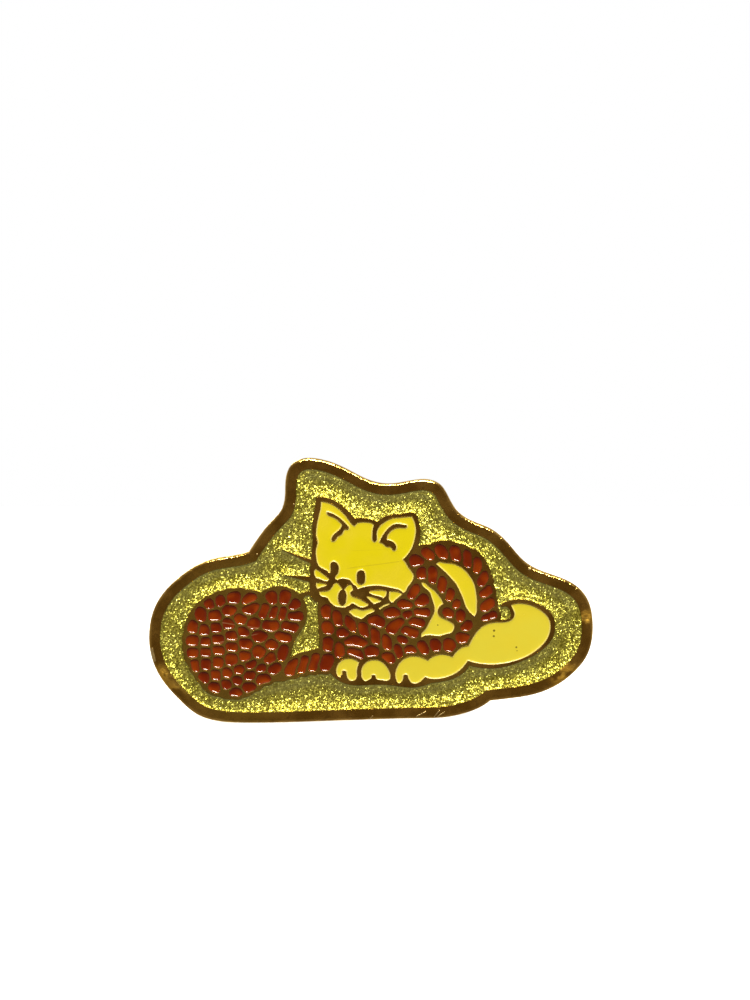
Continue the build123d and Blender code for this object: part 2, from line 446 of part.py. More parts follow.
def post():
    """One post, turned about its axis, from its flange at y = 0 to its point."""
    groove_start = groove_y - groove_width / 2
    groove_end = groove_y + groove_width / 2
    flange_top = flange_thickness - seat_depth
    profile = [
        Line((0, -seat_depth), (flange_radius, -seat_depth)),
        Line((flange_radius, -seat_depth), (flange_radius, flange_top)),
        Line((flange_radius, flange_top), (shank_radius, flange_top)),
        Line((shank_radius, flange_top), (shank_radius, groove_start)),
        ThreePointArc((shank_radius, groove_start), (shank_radius - groove_depth, groove_y),
                      (shank_radius, groove_end)),
        ThreePointArc((shank_radius, groove_end),
                      (shank_radius * tip_fullness, (groove_end + post_length) / 2),
                      (tip_radius, post_length)),
        Line((tip_radius, post_length), (0, post_length)),
        Line((0, post_length), (0, -seat_depth)),
    ]
    return revolve(Face(Wire(profile)), axis=Axis.Y)


def solder_ring():
    """The fillet of solder between the flange and the edge of its seat."""
    outer = flange_radius + solder_width
    profile = Polyline((flange_radius, -seat_depth), (outer, -seat_depth),
                       (flange_radius, flange_thickness - seat_depth - solder_step), close=True)
    return revolve(Face(Wire(profile.edges())), axis=Axis.Y)


def clutch_base():
    """The round pressing of a clutch: disc, rolled edge and guide hole."""
    disc = cylinder_y(clutch_radius, 0, base_thickness)
    edge = cylinder_y(clutch_radius, base_thickness, rolled_edge_height)
    edge -= cylinder_y(clutch_radius - rolled_edge_width, 0, rolled_edge_height + cut_past)
    guide_hole = cylinder_y(shank_radius + guide_clearance, -cut_past, base_thickness + cut_past)
    return disc + edge - guide_hole


def clutch_cover():
    """The folded cover: two side walls that carry the wing pivots, a top and two feet on the base."""
    inside = wing_neck_width / 2 + cover_clearance
    outside = inside + sheet
    wall_reach = pivot_reach + 2 * pivot_pin_radius
    top_reach = pivot_reach - sheet - cover_clearance
    cover = block((-outside, outside), (cover_height - sheet, cover_height), (-top_reach, top_reach))
    for side in (-1, 1):
        wall = sorted((side * inside, side * outside))
        foot = sorted((side * outside, side * (outside + cover_foot)))
        cover += block(wall, (base_thickness, cover_height), (-wall_reach, wall_reach))
        cover += block(foot, (base_thickness, base_thickness + sheet), (-wall_reach, wall_reach))
    for side in (-1, 1):
        hole = Cylinder(pivot_pin_radius + pivot_clearance, 2 * (outside + cut_past), rotation=(0, 90, 0))
        cover -= Pos(0, pivot_height, side * pivot_reach) * hole
    return cover - cylinder_y(shank_radius + tip_clearance, base_thickness, cover_height + cut_past)


def clutch_spring():
    """The middle of the spring strip, held under the cover, that pushes the wings apart."""
    top = cover_height - sheet
    reach = pivot_reach - sheet / 2 - cover_clearance
    strip = block((-wing_neck_width / 2, wing_neck_width / 2), (top - sheet, top), (-reach, reach))
    return strip - cylinder_y(shank_radius + tip_clearance, 0, top + cut_past)


def wing_strip():
    """A bent strip as wide as the wing: jaw across the post, neck up the cover, and ear turned out."""
    jaw_y = jaw_height + sheet / 2
    neck_top = cover_height + sheet
    ear_reach = wing_reach - sheet / 2
    ear_top = wing_rise - sheet / 2
    bends = FilletPolyline((0, jaw_y), (pivot_reach, jaw_y), (pivot_reach, neck_top),
                           (ear_reach, ear_top), radius=bend_radius)
    side_view = Plane(origin=(0, 0, 0), x_dir=(0, 0, 1), z_dir=(-1, 0, 0))
    section = make_face(offset(bends, sheet / 2, side=Side.BOTH))
    return extrude(side_view * section, amount=wing_width / 2, both=True)


def wing_outline():
    """What the strip is trimmed to, seen along the wing: a narrow neck under a round-cornered ear."""
    ear_foot = cover_height + sheet
    ear_size = (wing_width, wing_rise - ear_foot)
    ear = Pos(0, (ear_foot + wing_rise) / 2) * RectangleRounded(*ear_size, ear_corner)
    neck = Pos(0, wing_rise / 2 - ear_corner / 2) * Rectangle(wing_neck_width, wing_rise - ear_corner)
    return extrude(ear + neck, amount=wing_reach + cut_past)


def clutch_wing():
    """The upper wing: trimmed strip, pivot pin, and a jaw notched to fit round the post."""
    wing = wing_strip() & wing_outline()
    pin_length = wing_neck_width + 2 * (cover_clearance + sheet)
    wing += Pos(0, pivot_height, pivot_reach) * Cylinder(pivot_pin_radius, pin_length, rotation=(0, 90, 0))
    return wing - cylinder_y(shank_radius + jaw_clearance, -cut_past, wing_rise)


def save(name, solid):
    """Writes one node."""
    export_step(solid, "parts/" + name + ".step")


def write_front():
    """The plate and every fill of enamel."""
    cells = cell_faces(front_y)
    save("base_plate", base_plate(cells))
    for name, faces in cells.items():
        save(name, enamel(faces))


def write_posts_and_clutches():
    """Both posts with their solder, and the pieces of both clutches where they click into the grooves."""
    for side, x in (("left", -post_spacing / 2), ("right", post_spacing / 2)):
        save(side + "_post", Pos(x, 0, post_z) * post())
        save(side + "_post_solder", Pos(x, 0, post_z) * solder_ring())
        seat = Pos(x, clutch_y, post_z)
        save(side + "_clutch_base", seat * clutch_base())
        save(side + "_clutch_cover", seat * clutch_cover())
        save(side + "_clutch_spring", seat * clutch_spring())
        save(side + "_clutch_upper_wing", seat * clutch_wing())
        save(side + "_clutch_lower_wing", seat * Rot(0, 180, 0) * clutch_wing())


os.makedirs("parts", exist_ok=True)
write_front()
write_posts_and_clutches()
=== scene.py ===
"""An enamel pin with two posts and two butterfly clutches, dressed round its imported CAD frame."""
import math

import bmesh
import bpy
import numpy as np
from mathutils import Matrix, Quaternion, Vector
from mathutils.geometry import delaunay_2d_cdt


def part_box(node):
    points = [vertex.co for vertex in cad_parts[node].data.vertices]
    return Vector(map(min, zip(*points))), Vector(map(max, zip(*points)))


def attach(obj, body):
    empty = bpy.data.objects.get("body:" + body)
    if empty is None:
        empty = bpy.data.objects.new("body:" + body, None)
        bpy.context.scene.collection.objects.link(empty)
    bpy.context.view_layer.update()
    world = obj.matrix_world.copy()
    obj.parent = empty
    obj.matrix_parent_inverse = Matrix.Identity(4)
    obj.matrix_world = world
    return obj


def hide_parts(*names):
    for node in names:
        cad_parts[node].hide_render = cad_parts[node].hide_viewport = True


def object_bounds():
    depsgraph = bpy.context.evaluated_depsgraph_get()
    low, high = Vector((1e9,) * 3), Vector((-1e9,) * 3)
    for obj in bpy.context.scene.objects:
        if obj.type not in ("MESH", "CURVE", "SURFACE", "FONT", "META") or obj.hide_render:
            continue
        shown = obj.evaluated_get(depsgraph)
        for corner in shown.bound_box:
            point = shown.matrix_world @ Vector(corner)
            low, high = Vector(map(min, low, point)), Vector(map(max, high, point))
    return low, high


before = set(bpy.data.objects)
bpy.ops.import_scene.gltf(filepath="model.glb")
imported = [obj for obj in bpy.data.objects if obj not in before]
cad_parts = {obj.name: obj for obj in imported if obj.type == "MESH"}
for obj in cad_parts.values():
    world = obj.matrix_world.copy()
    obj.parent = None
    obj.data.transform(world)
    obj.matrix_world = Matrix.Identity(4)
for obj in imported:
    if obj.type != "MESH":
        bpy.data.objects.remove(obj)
cad_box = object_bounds()

# ---------------------------------------------------------------------------------------------
# The struck plate. A blank of brass is struck in a die, which leaves a border, raised lines and
# a sunk cell for each colour. It is trimmed, tumbled so that its outer edge is round, and plated.
MM = 0.001                 # metres. Lengths are in millimetres until a mesh is made.
WELD = 2e-7                # metres: points nearer than this are one point
SHEET_WELD = 1e-6          # and millimetres, while a flat sheet is being filled
EVEN_ODD = 2               # fills what lies inside an odd number of rings
STRIP = 0.5                # least width of the strips in which distances are measured
FRONT_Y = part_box("base_plate")[0].y / MM
FRONT_TOLERANCE = 0.002    # a triangle this near the frontmost plane of its node is on its front
CELL_STEP = 0.055          # longest side of a cell's outline
PLATE_STEP = 0.07          # and of the plate's own outline
CHAMFER = 0.016            # width and depth of the broken edge along each raised line
SPIKE_SLOPE = 0.045        # growth of that width with the distance from the point of a spike
SPIKE_REACH = 1.0
DOUBLES_BACK = -0.6        # cosine of the turn past which an outline's corner is a spike's point
EDGE_ROUND = 0.26          # tumbled outer edge at the front
BACK_ROUND = 0.12          # and at the back
ROUND_STEPS = 9
STITCH_LINE = 0.115        # narrowest raised line between two stitches of yarn
OUTLINE_LINE = 0.2         # and between a stitch and the drawing's other cells
STITCH_SWELL = 0.19        # most that a stitch's wall moves out
STITCH_REACH = 0.7         # neighbours further away than this don't count
STITCH_AVERAGING = 6
SEAT_TURNS = 96
PLATE_SHARP = 28           # degrees between two faces from which their edge is drawn sharp

# Marks on the front: x, z and radius of a spot, or start, end and width of a scratch.
# The amber spots are scuffs, rougher and painted bright amber as glints of light.
AMBER_SCUFFS_AND_PAINTED_GLINTS = ((-15.05, -6.3, 1.3), (-7.3, 6.9, 1.1), (-6.7, 8.3, 0.8),
                (15.5, -1.9, 0.7), (13.9, -6.1, 1.5), (-13.9, -7.4, 0.9))
YARN_FIELDS = ((-9.0, -3.6, 7.0), (4.6, -2.6, 5.0))
# Scratches on the rim; the last, wide one on the left edge is a painted highlight.
RIM_SCRATCHES_AND_PAINTED_HIGHLIGHT = (((3.2, -9.1), (4.0, -8.7), 0.05), ((4.5, -9.15), (4.95, -8.6), 0.05),
                 ((4.75, -9.1), (5.3, -8.75), 0.045), ((-0.2, -9.35), (0.15, -9.0), 0.05),
                 ((-15.85, -4.1), (-15.6, -5.2), 0.2))
RIM_NICKS = ((11.4, 1.55, 0.12), (-8.2, 2.6, 0.07), (-5.55, 6.2, 0.07))


def cad_rings(node):
    """Closed rings of (x, z) round the flat front of a CAD node.

    A side of a front triangle that no other front triangle runs back along lies on the outline.
    Sides are followed head to tail, so the material is on a ring's left, seen from the front."""
    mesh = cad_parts[node].data
    mesh.calc_loop_triangles()
    places = np.empty(len(mesh.vertices) * 3)
    mesh.vertices.foreach_get("co", places)
    corners = np.empty(len(mesh.loop_triangles) * 3, int)
    mesh.loop_triangles.foreach_get("vertices", corners)
    spots, same = np.unique(np.round(places.reshape(-1, 3) / MM, 4), axis=0, return_inverse=True)
    corners = same.reshape(-1)[corners].reshape(-1, 3)
    front = np.abs(spots[corners, 1] - spots[:, 1].min()).max(axis=1) < FRONT_TOLERANCE
    corners = corners[front]
    sides = np.concatenate([corners[:, [0, 1]], corners[:, [1, 2]], corners[:, [2, 0]]])
    sides = sides[sides[:, 0] != sides[:, 1]]
    forward = sides[:, 0] * len(spots) + sides[:, 1]
    backward = sides[:, 1] * len(spots) + sides[:, 0]
    following = dict(sides[~np.isin(forward, backward)].tolist())
    rings = []
    while following:
        start, here = following.popitem()
        ring = [start]
        while here != start:
            ring.append(here)
            here = following.pop(here)
        rings.append(spots[ring][:, [0, 2]])
    return rings


def divided(ring, step):
    """A ring whose sides are cut into equal parts no longer than step."""
    sides = np.roll(ring, -1, axis=0) - ring
    parts = np.ceil(np.hypot(*sides.T) / step).astype(int).clip(1)
    share = np.arange(parts.sum()) - np.repeat(np.cumsum(parts) - parts, parts)
    return np.repeat(ring, parts, axis=0) + np.repeat(sides / parts[:, None], parts, axis=0) * share[:, None]


def shifted(ring, distance):
    """A ring moved to its left by distance, along the normal halfway between its two sides."""
    along = np.roll(ring, -1, axis=0) - np.roll(ring, 1, axis=0)
    along /= np.hypot(*along.T)[:, None] + 1e-12
    return ring + (np.stack([-along[:, 1], along[:, 0]]) * distance).T


def clearance(places, walls, reach):
    """Distance from each place to the nearest wall point, at most reach.

    The plane is cut into upright strips, and each strip is compared with the walls near it."""
    found = np.full(len(places), float(reach))
    if not len(places) or not len(walls):
        return found
    strip = max(STRIP, reach / 2)
    for left in np.arange(places[:, 0].min(), places[:, 0].max() + strip, strip):
        here = np.flatnonzero((places[:, 0] >= left) & (places[:, 0] < left + strip))
        near = walls[(walls[:, 0] > left - reach) & (walls[:, 0] < left + strip + reach)]
        if len(here) and len(near):
            gaps = np.hypot(places[here, None, 0] - near[:, 0], places[here, None, 1] - near[:, 1])
            found[here] = np.minimum(gaps.min(axis=1), reach)
    return found


def swollen(ring, stitches, outlines):
    """A stitch's ring moved outwards, until the lines round it are about as narrow as they may be.

    Each point moves half of the room to the next stitch, or all of the room to another cell's
    outline if that is less, and at most STITCH_SWELL. The moves are then averaged along the ring
    so that it stays round."""
    room = np.minimum((clearance(ring, stitches, STITCH_REACH) - STITCH_LINE) / 2,
                      clearance(ring, outlines, STITCH_REACH) - OUTLINE_LINE)
    move = room.clip(0, STITCH_SWELL)
    for _ in range(STITCH_AVERAGING):
        move = (np.roll(move, 1) + 2 * move + np.roll(move, -1)) / 4
    return shifted(ring, -move)


def shoulder_of(ring):
    """The top edge of a cell's wall: the ring moved into the metal by CHAMFER.

    Near the point of a raised spike, where the outline doubles back, the move falls to
    SPIKE_SLOPE times the distance to the point, so that the two sides don't cross."""
    before, after = ring - np.roll(ring, 1, axis=0), np.roll(ring, -1, axis=0) - ring
    straightness = (before * after).sum(axis=1) / (np.hypot(*before.T) * np.hypot(*after.T))
    points = ring[straightness < DOUBLES_BACK]
    return shifted(ring, -np.minimum(CHAMFER, SPIKE_SLOPE * clearance(ring, points, SPIKE_REACH)))


def deep(ring, y):
    """A flat ring or set of places given a depth."""
    return np.stack([ring[:, 0], np.broadcast_to(y, len(ring)), ring[:, 1]], axis=1)


def sheet_between(rings, extra=()):
    """Triangles that fill the region inside an odd number of rings, through the extra points.

    They run anticlockwise seen from the front."""
    starts = np.cumsum([0] + [len(ring) for ring in rings])
    loops = [list(range(start, start + len(ring))) for start, ring in zip(starts, rings)]
    places = np.concatenate([*rings, extra] if len(extra) else rings)
    found, _, faces, *_ = delaunay_2d_cdt([Vector(p) for p in places], [], loops, EVEN_ODD, SHEET_WELD)
    places, faces = np.array(found), np.array(faces)
    a, b, c = (places[faces[:, i]] for i in range(3))
    area = (b[:, 0] - a[:, 0]) * (c[:, 1] - a[:, 1]) - (b[:, 1] - a[:, 1]) * (c[:, 0] - a[:, 0])
    return places, np.where(area[:, None] > 0, faces, faces[:, ::-1])


def flat(rings, y, finish=0, to_back=False):
    """A part that is flat at depth y inside an odd number of rings, and faces the front or back."""
    places, faces = sheet_between(rings)
    return deep(places, y), faces[:, ::-1] if to_back else faces, finish


def band(first, second, finish=0):
    """A part of quads between two rings of the same number of points, which run along first and
    back along second, seen from the side that they face."""
    n = len(first)
    i = np.arange(n)
    j = (i + 1) % n
    return np.concatenate([first, second]), np.stack([i, j, j + n, i + n], axis=1), finish


def welded(mesh):
    """A mesh's shell with its doubled points joined, to be changed further and written back."""
    shell = bmesh.new()
    shell.from_mesh(mesh)
    bmesh.ops.remove_doubles(shell, verts=shell.verts, dist=WELD)
    return shell


def placed(name, mesh, body, stands_for):
    """An object that shows the mesh, rides on the body and stands for its CAD node."""
    piece = bpy.data.objects.new(name, mesh)
    bpy.context.scene.collection.objects.link(piece)
    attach(piece, body)
    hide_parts(stands_for)
    return piece


def made(name, parts, body, stands_for, finishes, sharp):
    """A piece from parts, each (places, faces, finish number), welded and closed."""
    places, faces, finish, start = [], [], [], 0
    for part_places, part_faces, number in parts:
        places.append(part_places)
        faces += (part_faces + start).tolist()
        finish += [number] * len(part_faces)
        start += len(part_places)
    mesh = bpy.data.meshes.new(name)
    mesh.from_pydata(np.concatenate(places) * MM, [], faces)
    mesh.polygons.foreach_set("material_index", np.array(finish, np.int32))
    for material in finishes:
        mesh.materials.append(material)
    mesh.polygons.foreach_set("use_smooth", np.ones(len(faces), bool))
    shell = welded(mesh)
    bmesh.ops.dissolve_degenerate(shell, edges=shell.edges, dist=WELD / 20)
    bmesh.ops.delete(shell, geom=[v for v in shell.verts if not v.link_faces], context="VERTS")
    shell.to_mesh(mesh)
    shell.free()
    mesh.set_sharp_from_angle(angle=math.radians(sharp))
    return placed(name, mesh, body, stands_for)


class Value:
    """A socket of a shader tree, on which sums are written as sums."""

    def __init__(self, tree, socket):
        self.tree, self.socket = tree, socket

    def math(self, operation, *terms):
        node = self.tree.node("ShaderNodeMath", {"operation": operation}, dict(enumerate(terms)))
        return self.tree.output(node)

    def __add__(self, other):
        return self.math("ADD", self, other)

    def __radd__(self, other):
        return self.math("ADD", other, self)

    def __sub__(self, other):
        return self.math("SUBTRACT", self, other)

    def __rsub__(self, other):
        return self.math("SUBTRACT", other, self)

    def __mul__(self, other):
        return self.math("MULTIPLY", self, other)

    def __abs__(self):
        return self.math("ABSOLUTE", self)

    def over(self, low, high, step="SMOOTHSTEP"):
        """0 below low and 1 above high, with a step between that is soft unless it is LINEAR."""
        node = self.tree.node("ShaderNodeMapRange", {"interpolation_type": step},
                              {"Value": self, "From Min": low, "From Max": high})
        return self.tree.output(node)


class ShaderTree:
    """The nodes of a material or of the world, under construction."""

    def __init__(self, owner, coordinate):
        owner.use_nodes = True
        self.nodes, self.links = owner.node_tree.nodes, owner.node_tree.links
        self.nodes.clear()
        self.spot = self.output(self.node("ShaderNodeTexCoord"), coordinate)

    def node(self, kind, settings=None, inputs=None):
        """A node with its settings and the constants or links of its sockets."""
        node = self.nodes.new(kind)
        for name, value in (settings or {}).items():
            setattr(node, name, value)
        self.join(node, inputs or {})
        return node

    def join(self, node, inputs):
        """Sets sockets to constants, or links them. A colour may leave out its last number."""
        for name, value in inputs.items():
            socket = node.inputs[name.replace("_", " ") if isinstance(name, str) else name]
            if isinstance(value, Value):
                self.links.new(value.socket, socket)
            elif socket.type == "RGBA":
                socket.default_value = (*value, 1)
            else:
                socket.default_value = value

    def output(self, node, name=0):
        return Value(self, node.outputs[name])

    def vector(self, operation, *terms, **named):
        inputs = {**dict(enumerate(terms)), **named}
        return self.output(self.node("ShaderNodeVectorMath", {"operation": operation}, inputs))

    def part(self, value, axis):
        """The part of a vector or place along X, Y or Z."""
        return self.output(self.node("ShaderNodeSeparateXYZ", {}, {0: value}), axis)

    def noise(self, scale, detail, roughness=0.5, stretch=None):
        """Cloudy noise with scale blobs to each unit of the tree's place."""
        place = self.vector("MULTIPLY", self.spot, stretch) if stretch else self.spot
        return self.output(self.node("ShaderNodeTexNoise", {}, {
            "Vector": place, "Scale": scale, "Detail": detail, "Roughness": roughness}))

    def mix(self, share, first, second):
        """A colour between two, by share."""
        node = self.node("ShaderNodeMix", {"data_type": "RGBA"}, {0: share, 6: first, 7: second})
        return self.output(node, 2)


class Finish(ShaderTree):
    """A material that ends in one principled shader. Its place is in millimetres."""

    def __init__(self, name, **constants):
        self.material = bpy.data.materials.new(name)
        super().__init__(self.material, "Object")
        self.shader = self.node("ShaderNodeBsdfPrincipled", {}, constants)
        self.node("ShaderNodeOutputMaterial", {}, {"Surface": self.output(self.shader)})
        self.spot = self.vector("SCALE", self.spot, Scale=1 / MM)

    def set(self, **inputs):
        """Sets or links the shader's sockets, and gives back the material."""
        self.join(self.shader, inputs)
        return self.material

    def bump(self, height, distance, strength):
        """Relief from a height, distance deep in metres."""
        return self.output(self.node("ShaderNodeBump", {}, {
            "Height": height, "Distance": distance, "Strength": strength}))

    def scratch(self, start, end, width):
        """1 on a fine straight scratch between two points of the front, and 0 away from it."""
        run = (end[0] - start[0], end[1] - start[1])
        length = math.hypot(*run)
        tx, tz = run[0] / length, run[1] / length
        dx, dz = self.part(self.spot, "X") - start[0], self.part(self.spot, "Z") - start[1]
        aside = abs(dx * -tz + dz * tx)
        past = abs(dx * tx + dz * tz - length / 2)
        return (1 - aside.over(width * 0.4, width)) * (1 - past.over(length * 0.4, length * 0.5))

    def speck(self, x, z, radius, core=0.6):
        """1 inside a small round spot of the front, out to the share core of its radius."""
        dx, dz = self.part(self.spot, "X") - x, self.part(self.spot, "Z") - z
        return 1 - (dx * dx + dz * dz).over((core * radius) ** 2, radius ** 2)


def polished_gold():
    """Gold plating on struck brass: mirror-like, with soft waves, fine scratches, small nicks, and rougher
    scuffs painted bright amber as glints. The wide mark on the left edge is a painted highlight.
    """
    gold = Finish("polished_gold", Metallic=1.0)
    cloud = gold.noise(0.55, 2)
    tarnish = gold.noise(2.6, 3, 0.65)
    colour = gold.mix(cloud.over(0.38, 0.64), (0.60, 0.37, 0.08), (0.90, 0.60, 0.17))
    colour = gold.mix(tarnish.over(0.5, 0.72) * 0.5, colour, (0.36, 0.21, 0.05))
    scuffs_and_painted_glints = sum(gold.speck(*spot, core=0.1) for spot in AMBER_SCUFFS_AND_PAINTED_GLINTS) * gold.noise(1.1, 2).over(0.3, 0.55)
    # Painted glints: the scuffed spots are painted bright amber.
    colour = gold.mix(scuffs_and_painted_glints * 0.9, colour, (1.0, 0.62, 0.09))
    yarn_lines = sum(gold.speck(*spot) for spot in YARN_FIELDS)
    colour = gold.mix(yarn_lines.over(0.1, 0.9) * 0.5, colour, (1.0, 0.80, 0.22))
    wear_and_painted_highlight = sum(gold.scratch(*mark) for mark in RIM_SCRATCHES_AND_PAINTED_HIGHLIGHT) + sum(gold.speck(*spot) for spot in RIM_NICKS)
    lines = gold.noise(2.2, 3, 0.7, stretch=(1.0, 6.0, 5.0))
    waves = gold.noise(1.3, 3, 0.55)
    grain = gold.noise(26.0, 2, 0.6)
    relief = waves + lines * 0.05 + grain * 0.008 + wear_and_painted_highlight * 0.2
    # Scratches and nicks are painted paler; the wide mark on the left edge is a painted highlight.
    return gold.set(Base_Color=gold.mix(wear_and_painted_highlight * 0.7, colour, (0.98, 0.80, 0.42)),
                    Roughness=tarnish.over(0.4, 0.8) * 0.08 + 0.11 + wear_and_painted_highlight * 0.3 + scuffs_and_painted_glints * 0.34,
                    Normal=gold.bump(relief, 0.00014, 0.75))


def satin_gold():
    """The plate's back as it comes from the die: the same plating over an even, fine grain."""
    gold = Finish("satin_gold", Metallic=1.0)
    grain = gold.noise(17.0, 3, 0.6)
    fine = gold.noise(60.0, 2, 0.6)
    handling = gold.noise(0.5, 3, 0.6)
    return gold.set(Base_Color=gold.mix(handling.over(0.35, 0.7), (0.78, 0.54, 0.2), (0.70, 0.46, 0.15)),
                    Roughness=handling.over(0.3, 0.7) * 0.12 + 0.3,
                    Normal=gold.bump(grain + fine * 0.5, 0.00002, 0.5))


enamel_nodes = [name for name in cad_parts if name.endswith("_enamel")]
yarn_nodes = [name for name in enamel_nodes if name.startswith("yarn")]
drawn = {name: [divided(ring, CELL_STEP) for ring in cad_rings(name)] for name in enamel_nodes}
outlines = np.concatenate([ring for name in enamel_nodes if name not in yarn_nodes for ring in drawn[name]])
cells = dict(drawn)
for name in yarn_nodes:
    cells[name] = []
    for stitch in drawn[name]:
        others = [ring for other in yarn_nodes for ring in drawn[other] if ring is not stitch]
        cells[name].append(swollen(stitch, np.concatenate(others), outlines))
cell_rings = [ring for rings in cells.values() for ring in rings]
cell_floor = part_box("background_enamel")[1].y / MM
seat_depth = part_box("left_post")[0].y / MM

outline = divided(max(cad_rings("base_plate"), key=lambda ring: np.ptp(ring[:, 0])), PLATE_STEP)
turn = np.linspace(0, np.pi / 2, ROUND_STEPS)
edge_profile = [(BACK_ROUND * (1 - np.sin(a)), -BACK_ROUND * (1 - np.cos(a))) for a in turn[::2]]
edge_profile += [(EDGE_ROUND * (1 - np.cos(a)), FRONT_Y + EDGE_ROUND * (1 - np.sin(a))) for a in turn]
edge_rings = [deep(shifted(outline, inset), y) for inset, y in edge_profile]
parts = [band(rear, fore) for rear, fore in zip(edge_rings, edge_rings[1:])]

shoulders = [shoulder_of(ring) for ring in cell_rings]
parts.append(flat([edge_rings[-1][:, [0, 2]]] + shoulders, FRONT_Y))
for ring, shoulder in zip(cell_rings, shoulders):
    lip = deep(ring, FRONT_Y + CHAMFER)
    parts += [band(deep(shoulder, FRONT_Y), lip), band(lip, deep(ring, cell_floor))]
parts += [flat(rings, cell_floor) for rings in cells.values()]

spin = np.linspace(0, 2 * np.pi, SEAT_TURNS, endpoint=False)
circle = np.stack([np.cos(spin), np.sin(spin)], axis=1)
seat_rings = []
for side in ("left", "right"):
    low, high = (np.array([corner.x, corner.z]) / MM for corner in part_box(side + "_post_solder"))
    seat_rings.append((low + high) / 2 + (high - low)[0] / 2 * circle)
parts.append(flat([edge_rings[0][:, [0, 2]]] + seat_rings, 0, 1, to_back=True))
for ring in seat_rings:
    parts += [band(deep(ring, seat_depth), deep(ring, 0), 1), flat([ring], seat_depth, 1, to_back=True)]
made("struck_plate", parts, "pin", "base_plate", [polished_gold(), satin_gold()], PLATE_SHARP)

# ---------------------------------------------------------------------------------------------
# The background. Translucent yellow-green enamel full of metal flake, poured into the cell round
# the drawing and its small island. It is drawn up the walls as it cures, like water in a glass.
FLAKES_PER_MM = 11.0
SMALL_FLAKES_PER_MM = 19.8
LARGE_TILT, SMALL_TILT = 0.46, 0.42
ROW_SLACK = 0.97           # share of its inset that a point of a row keeps from every wall
FADED = 6                  # the rise at a wall is nothing after this many times its reach
FIRM = 0.25                # points nearer to a wall than this share of the reach aren't relaxed
HEX_ROW = 0.866            # distance between the rows of a grid of triangles, over its pitch
WALL_FADE = 0.1            # reach of the near_wall attribute
WALL_END = 1.5             # distance from a wall past which it is as good as nothing
ENAMEL_SHARP = 50
BACKGROUND_FACE = dict(level=-1.29, rise=0.2, reach=0.72, insets=(0.05, 0.12, 0.22), pitch=0.13, relaxings=14)


def between(rings, walls, insets, pitch):
    """Points inside a cell: rows along its walls at each inset, and a grid away from them."""
    rows = np.concatenate([shifted(ring, inset) for ring in rings for inset in insets])
    wanted = np.concatenate([np.full(len(ring), inset) for ring in rings for inset in insets])
    rows = rows[clearance(rows, walls, max(insets) * 1.1) > wanted * ROW_SLACK]
    if not pitch:
        return rows
    low, high = walls.min(axis=0), walls.max(axis=0)
    x, z = np.meshgrid(np.arange(low[0], high[0], pitch), np.arange(low[1], high[1], pitch * HEX_ROW))
    x[::2] += pitch / 2
    grid = np.stack([x.ravel(), z.ravel()], axis=1)
    grid = grid[clearance(grid, walls, max(insets) + pitch) > max(insets) + pitch / 2]
    return np.concatenate([rows, grid])


def poured(name, finish, slot, level, rise, reach, insets, pitch=None, relaxings=0):
    """Enamel in a node's cells, closed all round.

    Its face lies at depth level, and stands higher by rise times e to the power of minus the
    distance to the nearest wall over reach. Where the slopes of two walls meet, the crease is
    relaxed: each point off the walls takes the mean height of the points that it is joined to."""
    rings = cells[name]
    walls = np.concatenate(rings)
    places, faces = sheet_between(rings, between(rings, walls, insets, pitch))
    gap = clearance(places, walls, FADED * reach)
    height = rise * np.exp(-gap / reach)
    ends = np.concatenate([faces[:, [0, 1]], faces[:, [1, 2]], faces[:, [2, 0]]])
    ends = np.concatenate([ends, ends[:, ::-1]])
    joined = np.bincount(ends[:, 0], minlength=len(places)).clip(1)
    for _ in range(relaxings):
        mean = np.bincount(ends[:, 0], height[ends[:, 1]], len(places)) / joined
        height = np.where(gap > FIRM * reach, mean, height)
    parts = [(deep(places, level - height), faces, 0)]
    parts += [band(deep(ring, cell_floor), deep(ring, level - rise)) for ring in rings]
    parts.append(flat(rings, cell_floor, to_back=True))
    piece = made(name.replace("_enamel", "_fill"), parts, "pin", name, [finish], ENAMEL_SHARP)
    spots = np.empty(len(piece.data.vertices) * 3)
    piece.data.vertices.foreach_get("co", spots)
    gap = clearance(spots.reshape(-1, 3)[:, [0, 2]] / MM, walls, WALL_END)
    near_wall = piece.data.attributes.new("near_wall", "FLOAT", "POINT")
    near_wall.data.foreach_set("value", np.exp(-gap / WALL_FADE).astype(np.float32))


def by_wall(finish):
    """1 along the wall of a cell, falling to 0 away from it, as poured() wrote it on the mesh."""
    return finish.output(finish.node("ShaderNodeAttribute", {"attribute_name": "near_wall"}), "Fac")


